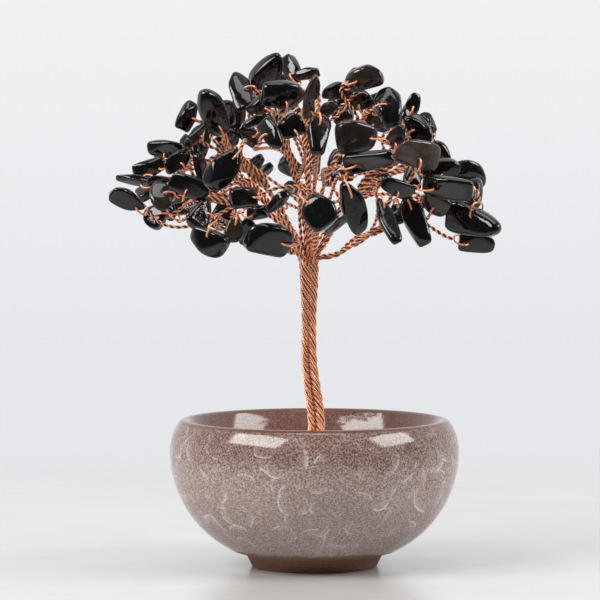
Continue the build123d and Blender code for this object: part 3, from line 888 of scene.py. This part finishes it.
def studio_finish():
    """Studio: dim in front and bright behind, with a pale backdrop where it is looked at.

    The camera sees the backdrop, and so do reflections and clear things that look backwards.
    """
    finish = Finish(bpy.data.worlds.new("studio"), "Background")
    way = finish.node("SeparateXYZ", {0: finish.node("TexCoord").outputs["Generated"]}).outputs
    light = finish.between(way["Y"], *STUDIO_DEPTH, *STUDIO_LEVELS)
    rise = finish.between(way["Z"], *BACKDROP_RISE, easing="LINEAR")
    backdrop = finish.mix(rise, LOW_BACKDROP, HIGH_BACKDROP)
    ray = finish.node("LightPath").outputs
    mirrored = finish.math("MAXIMUM", ray["Is Glossy Ray"], ray["Is Transmission Ray"])
    behind = finish.between(way["Y"], *BACKDROP_DEPTH, easing="LINEAR")
    seen = finish.math("MAXIMUM", ray["Is Camera Ray"], finish.math("MULTIPLY", mirrored, behind))
    finish.set(Color=finish.mix(seen, light, backdrop))
    return finish.owner


def bowl_profile(radius, top):
    """The bowl's outline: outside from the foot's recess to the lip, and within down to the floor.

    One arc makes the belly, a wider one the shoulder up to the mouth, and a small one the lip. The inner
    wall is the belly's arc less the wall, drawn in a little.
    """
    wall_centre = (radius - BELLY_SWEEP, BELLY_HEIGHT)
    flare = math.degrees(math.asin((FLARE_HEIGHT - BELLY_HEIGHT) / BELLY_SWEEP))
    inset, rise = radius - MOUTH_RADIUS, top - LIP_RISE - BELLY_HEIGHT
    shoulder = (inset**2 + rise**2) / (2 * inset)
    shoulder_centre = (radius - shoulder, BELLY_HEIGHT)
    shoulder_end = math.degrees(math.asin(rise / shoulder))
    lip = ((BOWL_WALL / 2) ** 2 + LIP_RISE**2) / (2 * LIP_RISE)
    lip_centre = (MOUTH_RADIUS - BOWL_WALL / 2, top - lip)
    lip_start = math.degrees(math.acos(BOWL_WALL / 2 / lip))
    ring_inside = FOOT_RADIUS - FOOT_RING_WIDTH
    foot = [
        [0, FOOT_RECESS],
        [ring_inside - FOOT_EDGE, FOOT_RECESS],
        [ring_inside, FOOT_RECESS - FOOT_EDGE],
        [ring_inside, FOOT_EDGE],
        [ring_inside + FOOT_EDGE, 0],
        [FOOT_RADIUS - FOOT_EDGE, 0],
        [FOOT_RADIUS, FOOT_EDGE],
        [FOOT_TOP_RADIUS - FOOT_GROOVE, FOOT_HEIGHT - FOOT_EDGE],
        [FOOT_TOP_RADIUS + FOOT_EDGE, FOOT_HEIGHT + FOOT_GROOVE],
        [(FOOT_TOP_RADIUS + FLARE_RADIUS) / 2, (FOOT_HEIGHT + FLARE_HEIGHT) / 2],
    ]
    belly = arc(wall_centre, BELLY_SWEEP, flare, 0, BELLY_STEPS)
    upper = arc(shoulder_centre, shoulder, 0, shoulder_end, SHOULDER_STEPS)[1:]
    outer_lip = arc(lip_centre, lip, lip_start, 90, LIP_STEPS)[1:]
    inner_lip = arc(lip_centre, lip, 90, 180 - lip_start, LIP_STEPS)[1:]
    inner_wall = arc(wall_centre, BELLY_SWEEP - BOWL_WALL, 0, INNER_ARC_END, INNER_STEPS)
    inner_wall = inner_wall * (INNER_WIDTH_SHARE, 1)
    floor = [[0, BELLY_HEIGHT - BELLY_SWEEP + BOWL_WALL]]
    return np.concatenate([foot, belly, upper, outer_lip]), np.concatenate([inner_lip, inner_wall, floor])


class GEMTREE_OT_bowl(bpy.types.Operator):
    """Turn the glazed bowl"""

    bl_idname = "gemtree.bowl"
    bl_label = "Bowl"

    def execute(self, context):
        _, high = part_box("bowl")
        outside, within = bowl_profile(high.x, high.z)
        corners, faces = lathe(np.concatenate([outside, within]), BOWL_SIDES)
        share = np.clip(np.arange(len(within)) / INSIDE_ROWS, 0, 1)
        per_row = np.concatenate([np.zeros(len(outside)), share])
        inside = np.concatenate([per_row[:1], np.repeat(per_row[1:-1], BOWL_SIDES), per_row[-1:]])
        corners = np.clip(corners, *CAD_BOX)
        faces = [face[::-1] for face in faces]
        mesh_object("glazed_bowl", corners, faces, bowl_finish(), "tree", "bowl", {"inside": inside})
        return {"FINISHED"}


class GEMTREE_OT_plaster(bpy.types.Operator):
    """Fill the bowl with plaster: a turned mound whose top is lowered by crossed waves"""

    bl_idname = "gemtree.plaster"
    bl_label = "Plaster"

    def execute(self, context):
        low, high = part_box("plaster")
        edge = high.x - PLASTER_EDGE_GAP
        share = np.linspace(0, 1, PLASTER_ROWS)
        mound = (PLASTER_PEAK_HEIGHT - PLASTER_EDGE_HEIGHT) * (1 - share) ** PLASTER_SLOPE_POWER
        slope = np.column_stack([edge * share, PLASTER_EDGE_HEIGHT + mound])
        wall = [
            [edge * PLASTER_WALL_SHARE, PLASTER_WALL_HEIGHT],
            [edge * PLASTER_BASE_SHARE, low.z + PLASTER_BASE_RISE],
            [0, low.z + PLASTER_FLOOR_RISE],
        ]
        corners, faces = lathe(np.concatenate([slope, wall]), PLASTER_SIDES)
        x, y, z = corners.T / MM
        lumps = np.sin(0.9 * x + 1.3 * np.sin(0.7 * y)) * np.sin(0.8 * y + 0.4)
        lumps = lumps + 0.5 * np.sin(2.1 * x + 1.7 * y)
        from_edge = edge / MM - np.hypot(x, y)
        on_top = np.clip((z - LUMP_START) / LUMP_RISE, 0, 1) * np.clip(from_edge / LUMP_MARGIN, 0, 1)
        corners[:, 2] -= LUMP_DEPTH * on_top * (1 + lumps)
        mesh_object("plaster_mound", corners, faces, plaster_finish(), "tree", "plaster")
        return {"FINISHED"}


def strand_path(limb):
    """The smooth middle line of a limb's packed strand, from the trunk's end to the limb's tip."""
    corners, triangles = solids_of(f"{limb}_strand")[0]
    knots = ring_centres(corners, triangles, np.argsort(corners[:, 2])[:STRAND_SIDES])
    return smooth_curve(knots, STRAND_STEPS)


def trunk_middle(height):
    """The trunk's middle at given heights: the mean of all strands there."""
    across = []
    for limb in LIMBS:
        path = strand_path(limb)
        path = path[: np.argmax(path[:, 2] > FORK_HEIGHT) + 1]
        across.append([np.interp(height, path[:, 2], path[:, i]) for i in range(2)])
    return np.mean(across, axis=0).T


def strand_wires(limb, wires):
    """A strand's wires: laid round the trunk, then twisted into a rope along the limb.

    The trunk's outer wires lie at even angles, one or two of each outer strand, with the strand's others
    under them. They dip where they cross the valleys between the trunk's ropes. The trunk is thickest at
    the fork and at its foot, and each wire wavers a little. Two wires twist round the strand's route along
    the limb, and the others end in the fork. Also how much painted shade each point gets for lying in a
    valley.
    """
    path = strand_path(limb)
    length = length_along(path)
    fork = length[np.argmax(path[:, 2] > FORK_HEIGHT)]
    on_limb = smoothstep((length - fork + FORK_LEAD) / FORK_BLEND)
    middle = trunk_middle(np.minimum(path[:, 2], FORK_HEIGHT))
    away = path[:, :2] - middle
    lay_radius = np.linalg.norm(away, axis=1)
    lay_angle = np.unwrap(np.arctan2(away[:, 1], away[:, 0]))
    count, diameter = wires.wires_per_strand, wires.strand_diameter
    at = lay_angle[np.argmax(path[:, 2] > LAY_HEIGHT)]
    step, share = math.tau / OUTER_WIRES, math.tau / OUTER_STRANDS
    outer = lay_radius[: len(path) // 3].mean() > CORE_RADIUS
    if outer:
        first, last = math.ceil((at - share / 2) / step), math.ceil((at + share / 2) / step)
        top = np.arange(first, last) * step - at
        under = np.arange(count - len(top)) - (count - len(top) - 1) / 2
        offset = np.concatenate([top, under * step])[:, None]
        sunk = np.repeat([0, SUNK_SHARE * diameter], [len(top), len(under)])[:, None]
        swell = np.interp(path[:, 2] / MM, TRUNK_HEIGHTS, TRUNK_SWELL) * MM
        reach = wires.trunk_waist - diameter / 2 + swell - sunk
    else:
        offset = np.arange(count)[:, None] * math.tau / count
        reach = np.full((count, 1), CORE_LAY_SHARE * diameter)

    # Each strand and each wire starts its wavering elsewhere
    phase = STRAND_PHASE * at + WIRE_PHASE * np.arange(count)[:, None]
    angle = lay_angle + offset + WAVER_ANGLE * np.sin(math.tau * length / WAVER_ANGLE_LENGTH + phase)
    reach = reach + WAVER_DEPTH * np.sin(math.tau * length / WAVER_DEPTH_LENGTH + DEPTH_PHASE * phase)
    valley = 1 - np.abs(np.sin(ROPES / 2 * (angle - VALLEY_ANGLE))) ** VALLEY_POWER
    valley = valley * np.interp(path[:, 2] / MM, TRUNK_HEIGHTS, VALLEY_SHARE)
    reach = reach - VALLEY_DEPTH * valley * outer
    round_trunk = np.stack([np.cos(angle), np.sin(angle), 0 * angle], axis=-1) * reach[..., None]
    upright = np.column_stack([middle, path[:, 2]])

    side, up = frame_along(path)
    number = np.arange(count)[:, None, None]
    twist = number * math.pi + math.tau * ((length - fork) / wires.limb_pitch)[:, None]
    spread = np.where(number < LIMB_WIRES, diameter / 2, 0)
    rope = spread * (np.cos(twist) * side + np.sin(twist) * up)
    blend = on_limb[:, None]
    laid = (upright + round_trunk) * (1 - blend) + (path + rope) * blend
    core = upright * (1 - blend) + path * blend
    # Painted shade: wires lying in a valley between the trunk's ropes are darkened, less so towards the limb
    shade = VALLEY_SHADE * valley * (1 - on_limb)
    rows = [np.column_stack([wire, core, dark]) for wire, dark in zip(laid, shade)]
    ends = np.argmax(length > fork + FORK_RUN)
    rows[LIMB_WIRES:] = [resampled(row[:ends], len(path)) for row in rows[LIMB_WIRES:]]
    rows = np.array(rows)
    return rows[..., :3], rows[..., 3:6], rows[..., 6]


def leaving_angle(offset, side, up, length):
    """The angle round the limb at which an offset from it lies, less the places' winding up to there."""
    return math.atan2(offset @ up, offset @ side) - math.tau * length / LIMB_WINDING


def tail_slots(limb_path, side, up, starts, tails):
    """A place round the limb for each twig's tail: the nearest of six that no other tail holds there.

    Places are angles that wind slowly with the limb. Twigs nearer to the limb's tip choose first.
    """
    length = length_along(limb_path)
    near = [np.argmin(np.linalg.norm(limb_path - start, axis=1)) for start in starts]
    taken = []
    slots = [0.0] * len(starts)
    for i in sorted(range(len(starts)), key=lambda i: -length[near[i]]):
        at = near[i]
        leaves = leaving_angle(starts[i] - limb_path[at], side[at], up[at], length[at])
        run = (length[at] - tails[i], length[at])
        places = sorted(range(TAIL_PLACES), key=lambda k: -math.cos(leaves - k * math.tau / TAIL_PLACES))
        held = {place for place, low, high in taken if low < run[1] and high > run[0]}
        place = next((k for k in places if k not in held), places[0])
        taken.append((place, *run))
        slots[i] = place * math.tau / TAIL_PLACES
    return slots


def twig_wire(knots, limb_path, side, up, tail, slot, pitch, diameter):
    """One wire, doubled: up a twisted pair from the limb, through the stone in a loop and back down the pair.

    The pair's middle line runs in its place beside the limb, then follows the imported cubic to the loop.
    """
    approach = cubic_through(knots[:4], APPROACH_STEPS)
    limb_length = length_along(limb_path)
    near = np.argmin(np.linalg.norm(limb_path - approach[0], axis=1))
    start = max(np.searchsorted(limb_length, limb_length[near] - tail), 0)
    back = np.arange(start, near)
    away = limb_length[near] - limb_length[back]
    offset = approach[0] - limb_path[near]
    leaves = leaving_angle(offset, side[near], up[near], limb_length[near])
    swing = (leaves - slot + math.pi) % math.tau - math.pi
    angle = slot + swing * smoothstep(1 - away / TAIL_SWING) + math.tau * limb_length[back] / LIMB_WINDING
    reaches = (np.linalg.norm(offset), TAIL_REACH, 2 * diameter, TAIL_END_REACH)
    reach = np.interp(away / tail, TAIL_SHARES, reaches)
    wound = np.cos(angle)[:, None] * side[back] + np.sin(angle)[:, None] * up[back]
    middle = np.concatenate([limb_path[back] + reach[:, None] * wound, approach])
    middle = softened(resampled(middle, PAIR_STEPS), PAIR_PASSES)

    length = length_along(middle)
    side, up = frame_along(middle)
    through = unit(knots[5] - knots[6])
    end_angle = math.atan2(through @ up[-1], through @ side[-1])
    turn = end_angle + math.tau * (length - length[-1]) / pitch
    offset = diameter / 2 * (np.cos(turn)[:, None] * side + np.sin(turn)[:, None] * up)
    first, second = middle + offset, middle - offset
    within = (knots[5] + knots[6]) / 2
    loop = np.array([first[-1], knots[4], knots[5], within, knots[6], knots[7], second[-1]])
    loop = smooth_curve(loop, LOOP_STEPS)
    whole = np.concatenate([first[:-1], loop, second[-2::-1]])
    cores = np.concatenate([middle[:-1], loop, middle[-2::-1]])
    whole = softened(resampled(np.column_stack([whole, cores]), TWIG_STEPS), 1)
    return whole[:, :3], whole[:, 3:]


class GEMTREE_OT_strands(bpy.types.Operator):
    """Lay up the trunk's strands and run them out along the limbs"""

    bl_idname = "gemtree.strands"
    bl_label = "Strands"

    def execute(self, context):
        wires = context.scene.gemtree_wires
        copper = bpy.data.materials["copper_wire"]
        for limb in LIMBS:
            paths, cores, shade = strand_wires(limb, wires)
            corners, faces, depth = tubes(paths, cores, shade, wires.strand_diameter / 2, STRAND_WIRE_SIDES)
            name = f"{limb}_strand"
            mesh_object(f"{name}_wires", corners, faces, copper, "tree", name, {"depth": depth})
        return {"FINISHED"}


class GEMTREE_OT_twigs(bpy.types.Operator):
    """Twist the twigs from their limbs to the loops in the stones"""

    bl_idname = "gemtree.twigs"
    bl_label = "Twigs"

    def execute(self, context):
        wires = context.scene.gemtree_wires
        copper = bpy.data.materials["copper_wire"]
        for limb in LIMBS:
            limb_path = strand_path(limb)
            limb_path = limb_path[limb_path[:, 2] > FORK_HEIGHT - FORK_MARGIN]
            side, up = frame_along(limb_path)
            knots = [twig_knots(*solid) for solid in solids_of(f"{limb}_twigs")]
            steep = unit(limb_path[-1] - limb_path[0])[2]
            longest = wires.tail_length * (1 - UPRIGHT_CUT * steep**2)
            shares = [LEAST_TAIL_SHARE + TAIL_SPREAD * (n * GOLDEN_SHARE % 1) for n in range(len(knots))]
            tails = [longest * share for share in shares]
            from_fork = [np.linalg.norm(knot[0] - limb_path[0]) for knot in knots]
            for number in np.argsort(from_fork)[:FULL_TAILS]:
                tails[number] = FULL_TAIL_SHARE * from_fork[number]
            slots = tail_slots(limb_path, side, up, [knot[0] for knot in knots], tails)
            made = [
                twig_wire(knot, limb_path, side, up, tail, slot, wires.twig_pitch, wires.diameter)
                for knot, tail, slot in zip(knots, tails, slots)
            ]
            paths, cores = (np.array(rows) for rows in zip(*made))
            corners, faces, depth = tubes(paths, cores, 0.0, wires.diameter / 2, TWIG_WIRE_SIDES)
            name = f"{limb}_twigs"
            mesh_object(f"{name}_wires", corners, faces, copper, "tree", name, {"depth": depth})
        return {"FINISHED"}


def chip_planes(corners, triangles):
    """A chip's broad direction, and the directions and reaches of its sides, without bevels and hole."""
    a, b, c = corners[triangles].transpose(1, 0, 2)
    normals = unit(np.cross(b - a, c - a))
    reach = (normals * a).sum(axis=1)
    outer = (corners @ normals.T).max(axis=0) - reach < MERGE_DISTANCE
    _, first = np.unique(np.round(normals[outer], 2), axis=0, return_index=True)
    normals, reach = normals[outer][first], reach[outer][first]
    thickness = np.where(normals @ normals.T < OPPOSITE_COSINE, reach[:, None] + reach, np.inf)
    broad = normals[np.unravel_index(np.argmin(thickness), thickness.shape)[0]]
    sides = np.abs(normals @ broad) < SQUARE_COSINE
    return broad, normals[sides], reach[sides]


def tumbled(solids, seeds, power, dent_depth):
    """Tumbled stones: in direction d the surface lies at (sum of (n.d / h)^p)^(-1/p) from the middle.

    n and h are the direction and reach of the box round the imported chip, with its flanks and broad faces
    tilted a little, of the chip's own sides moved out, and of a few seeded facets across its corners.
    Seeded hollows and waves only take away. The grid is a globe, its poles at the ends of the longest axis.
    """
    turn = np.linspace(0, math.tau, STONE_SIDES, endpoint=False)
    tilt = np.linspace(0, math.pi, STONE_ROWS + 2)[1:-1, None]
    rings = [np.cos(tilt) + 0 * turn, np.sin(tilt) * np.cos(turn), np.sin(tilt) * np.sin(turn)]
    globe = np.concatenate([[[1, 0, 0]], np.stack(rings, axis=-1).reshape(-1, 3), [[-1, 0, 0]]])
    stones = []
    for (corners, triangles), seed in zip(solids, seeds):
        random = np.random.default_rng(seed)
        broad, normals, reach = chip_planes(corners, triangles)
        flat = corners - corners.mean(axis=0)
        flat = flat - np.outer(flat @ broad, broad)
        longest = np.linalg.svd(flat)[2][0]
        axes = np.array([longest, np.cross(broad, longest), broad])
        low, high = (corners @ axes.T).min(axis=0), (corners @ axes.T).max(axis=0)
        half = (high - low) / 2
        middle = (high + low) / 2 @ axes
        ways = (globe * half) @ axes
        wide, deep, thick = axes / (half * BOX_SHARES)[:, None]
        taper, wedge = random.uniform(-TAPER, TAPER), random.uniform(-WEDGE, WEDGE)
        flanks = np.array([deep + taper * wide, taper * wide - deep]) / (1 - abs(taper) / 2)
        broads = np.array([thick + wedge * wide, wedge * wide - thick]) / (1 - abs(wedge) / 2)
        sides = normals / ((reach - normals @ middle) * random.uniform(*SIDE_SHARES))[:, None]
        corner = random.choice((-1, 1), (FACETS, 3)) * random.uniform(*FACET_LEANS, (FACETS, 3))
        facets = unit(corner) @ np.array([wide, deep, thick]) / random.uniform(*FACET_SHARES, (FACETS, 1))
        share = np.maximum(ways @ np.concatenate([[wide, -wide], flanks, broads, sides, facets]).T, 0)
        own_power = power * random.uniform(*POWER_SHARES)
        size = (share**own_power).sum(axis=1) ** (-1 / own_power)
        for _ in range(HOLLOWS):
            hollow = unit(random.normal(size=3))
            width = random.uniform(*HOLLOW_WIDTHS)
            depth = dent_depth * random.uniform(*HOLLOW_SHARES)
            size *= 1 - depth * np.exp((globe @ hollow - 1) / width**2)
        wave = np.sin(globe @ random.uniform(-WAVE_REACH, WAVE_REACH, 3) + random.uniform(*WAVE_STARTS))
        size *= 1 - WAVE_DEPTH * (1 + wave)
        stones.append(middle + ways * size[:, None])
    return np.array(stones), globe_faces(len(stones), STONE_ROWS, STONE_SIDES)


def smoke_of(middles):
    """How smoky each stone is: a listed stone is the one nearest to its place as seen from the front.

    Of stones that lie behind each other there, the front one counts as a little nearer.
    """
    spread = 1 + middles[:, 1] / VIEW_DISTANCE
    seen = np.column_stack([middles[:, 0] / spread, VIEW_HEIGHT + (middles[:, 2] - VIEW_HEIGHT) / spread])
    behind = FRONT_PREFERENCE * (middles[:, 1] + FRONT_REACH)
    smoke = np.zeros(len(middles))
    for across, up, amount in SMOKY_STONES:
        away = np.linalg.norm(seen - np.array([across, up]) * MM, axis=1) + behind
        smoke[np.argmin(away)] = amount
    return smoke


class GEMTREE_OT_chips(bpy.types.Operator):
    """Tumble the stone chips, wired and hanging ones alike"""

    bl_idname = "gemtree.chips"
    bl_label = "Stone Chips"

    def execute(self, context):
        stones = context.scene.gemtree_stones
        stone = bpy.data.materials["tumbled_stone"]
        nodes = [f"{limb}_chips" for limb in LIMBS] + PENDANTS
        solids = {node: solids_of(node) for node in nodes}
        smoke = smoke_of(np.array([corners.mean(axis=0) for node in nodes for corners, _ in solids[node]]))
        made = 0
        for node in nodes:
            count = len(solids[node])
            seeds = range(made, made + count)
            forms, faces = tumbled(solids[node], seeds, stones.edge_power, stones.dent_depth)
            haze = np.repeat(smoke[made : made + count], forms.shape[1])
            body = node if node in PENDANTS else "tree"
            corners = np.clip(forms.reshape(-1, 3), *CAD_BOX)
            name = f"{node}_stones"
            mesh_object(name, corners, faces, stone, body, node, {"smoke": haze})
            made += count
        return {"FINISHED"}


class GEMTREE_OT_stage(bpy.types.Operator):
    """Set the table, the lamps, the studio and the camera"""

    bl_idname = "gemtree.stage"
    bl_label = "Stage"

    def execute(self, context):
        scene = context.scene
        scene.view_settings.view_transform = "Standard"
        scene.world = studio_finish()

        mesh = bpy.data.meshes.new("table")
        count = TABLE_CELLS + 1
        side = np.linspace(-TABLE_REACH, TABLE_REACH, count)
        x, y = np.meshgrid(side, side)
        row = np.arange(TABLE_CELLS)[:, None] * count + np.arange(TABLE_CELLS)
        faces = np.stack([row, row + 1, row + count + 1, row + count], axis=-1).reshape(-1, 4)
        corners = np.column_stack([x.ravel(), y.ravel(), np.zeros(count * count)])
        mesh.from_pydata(corners.tolist(), [], faces.tolist())
        mesh.materials.append(table_finish())
        table = bpy.data.objects.new("table", mesh)
        scene.collection.objects.link(table)

        for name, azimuth, elevation, distance, size, power, colour in LAMPS:
            data = bpy.data.lights.new(name, "AREA")
            data.shape = "RECTANGLE"
            data.size, data.size_y = size
            data.energy = power
            data.color = colour
            lamp = bpy.data.objects.new(name, data)
            across, up = math.radians(azimuth), math.radians(elevation)
            way = Vector((math.sin(across) * math.cos(up), -math.cos(across) * math.cos(up), math.sin(up)))
            lamp.location = LAMP_AIM + way * distance
            lamp.rotation_euler = way.to_track_quat("Z", "Y").to_euler()
            scene.collection.objects.link(lamp)

        data = bpy.data.cameras.new("camera")
        data.sensor_width = SENSOR_WIDTH
        camera = bpy.data.objects.new("camera", data)
        camera.location = (VIEW_CENTRE[0], -VIEW_DISTANCE, VIEW_HEIGHT)
        sight = Vector((VIEW_CENTRE[0], 0, VIEW_CENTRE[1])) - camera.location
        data.lens = SENSOR_WIDTH * sight.length / FRAME_WIDTH
        data.clip_start = CLIP_START
        camera.rotation_euler = sight.to_track_quat("-Z", "Y").to_euler()
        scene.collection.objects.link(camera)
        scene.camera = camera
        return {"FINISHED"}


class GEMTREE_OT_finishes(bpy.types.Operator):
    """Mix the copper and stone finishes that many pieces share"""

    bl_idname = "gemtree.finishes"
    bl_label = "Shared Finishes"

    def execute(self, context):
        copper_finish()
        stone_finish()
        return {"FINISHED"}


class GEMTREE_PT_panel(bpy.types.Panel):
    """Sizes, colours and steps of the gemstone tree"""

    bl_label = "Gemstone Tree"
    bl_idname = "GEMTREE_PT_panel"
    bl_space_type = "VIEW_3D"
    bl_region_type = "UI"
    bl_category = "Gem Tree"

    def draw(self, context):
        for group in ("gemtree_wires", "gemtree_stones", "gemtree_bowl"):
            values = getattr(context.scene, group)
            box = self.layout.box()
            for key in values.__annotations__:
                box.prop(values, key)
        for operator in STEPS:
            self.layout.operator(operator.bl_idname)


GROUPS = (GEMTREE_PG_wires, GEMTREE_PG_stones, GEMTREE_PG_bowl)
STEPS = (
    GEMTREE_OT_finishes,
    GEMTREE_OT_stage,
    GEMTREE_OT_bowl,
    GEMTREE_OT_plaster,
    GEMTREE_OT_strands,
    GEMTREE_OT_twigs,
    GEMTREE_OT_chips,
)


def register():
    for made in GROUPS + STEPS + (GEMTREE_PT_panel,):
        bpy.utils.register_class(made)
    bpy.types.Scene.gemtree_wires = PointerProperty(type=GEMTREE_PG_wires)
    bpy.types.Scene.gemtree_stones = PointerProperty(type=GEMTREE_PG_stones)
    bpy.types.Scene.gemtree_bowl = PointerProperty(type=GEMTREE_PG_bowl)


def unregister():
    del bpy.types.Scene.gemtree_bowl
    del bpy.types.Scene.gemtree_stones
    del bpy.types.Scene.gemtree_wires
    for made in reversed(GROUPS + STEPS + (GEMTREE_PT_panel,)):
        bpy.utils.unregister_class(made)


def main():
    """Register the classes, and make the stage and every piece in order."""
    register()
    bpy.ops.gemtree.finishes()
    bpy.ops.gemtree.stage()
    bpy.ops.gemtree.bowl()
    bpy.ops.gemtree.plaster()
    bpy.ops.gemtree.strands()
    bpy.ops.gemtree.twigs()
    bpy.ops.gemtree.chips()


if __name__ == "__main__":
    main()
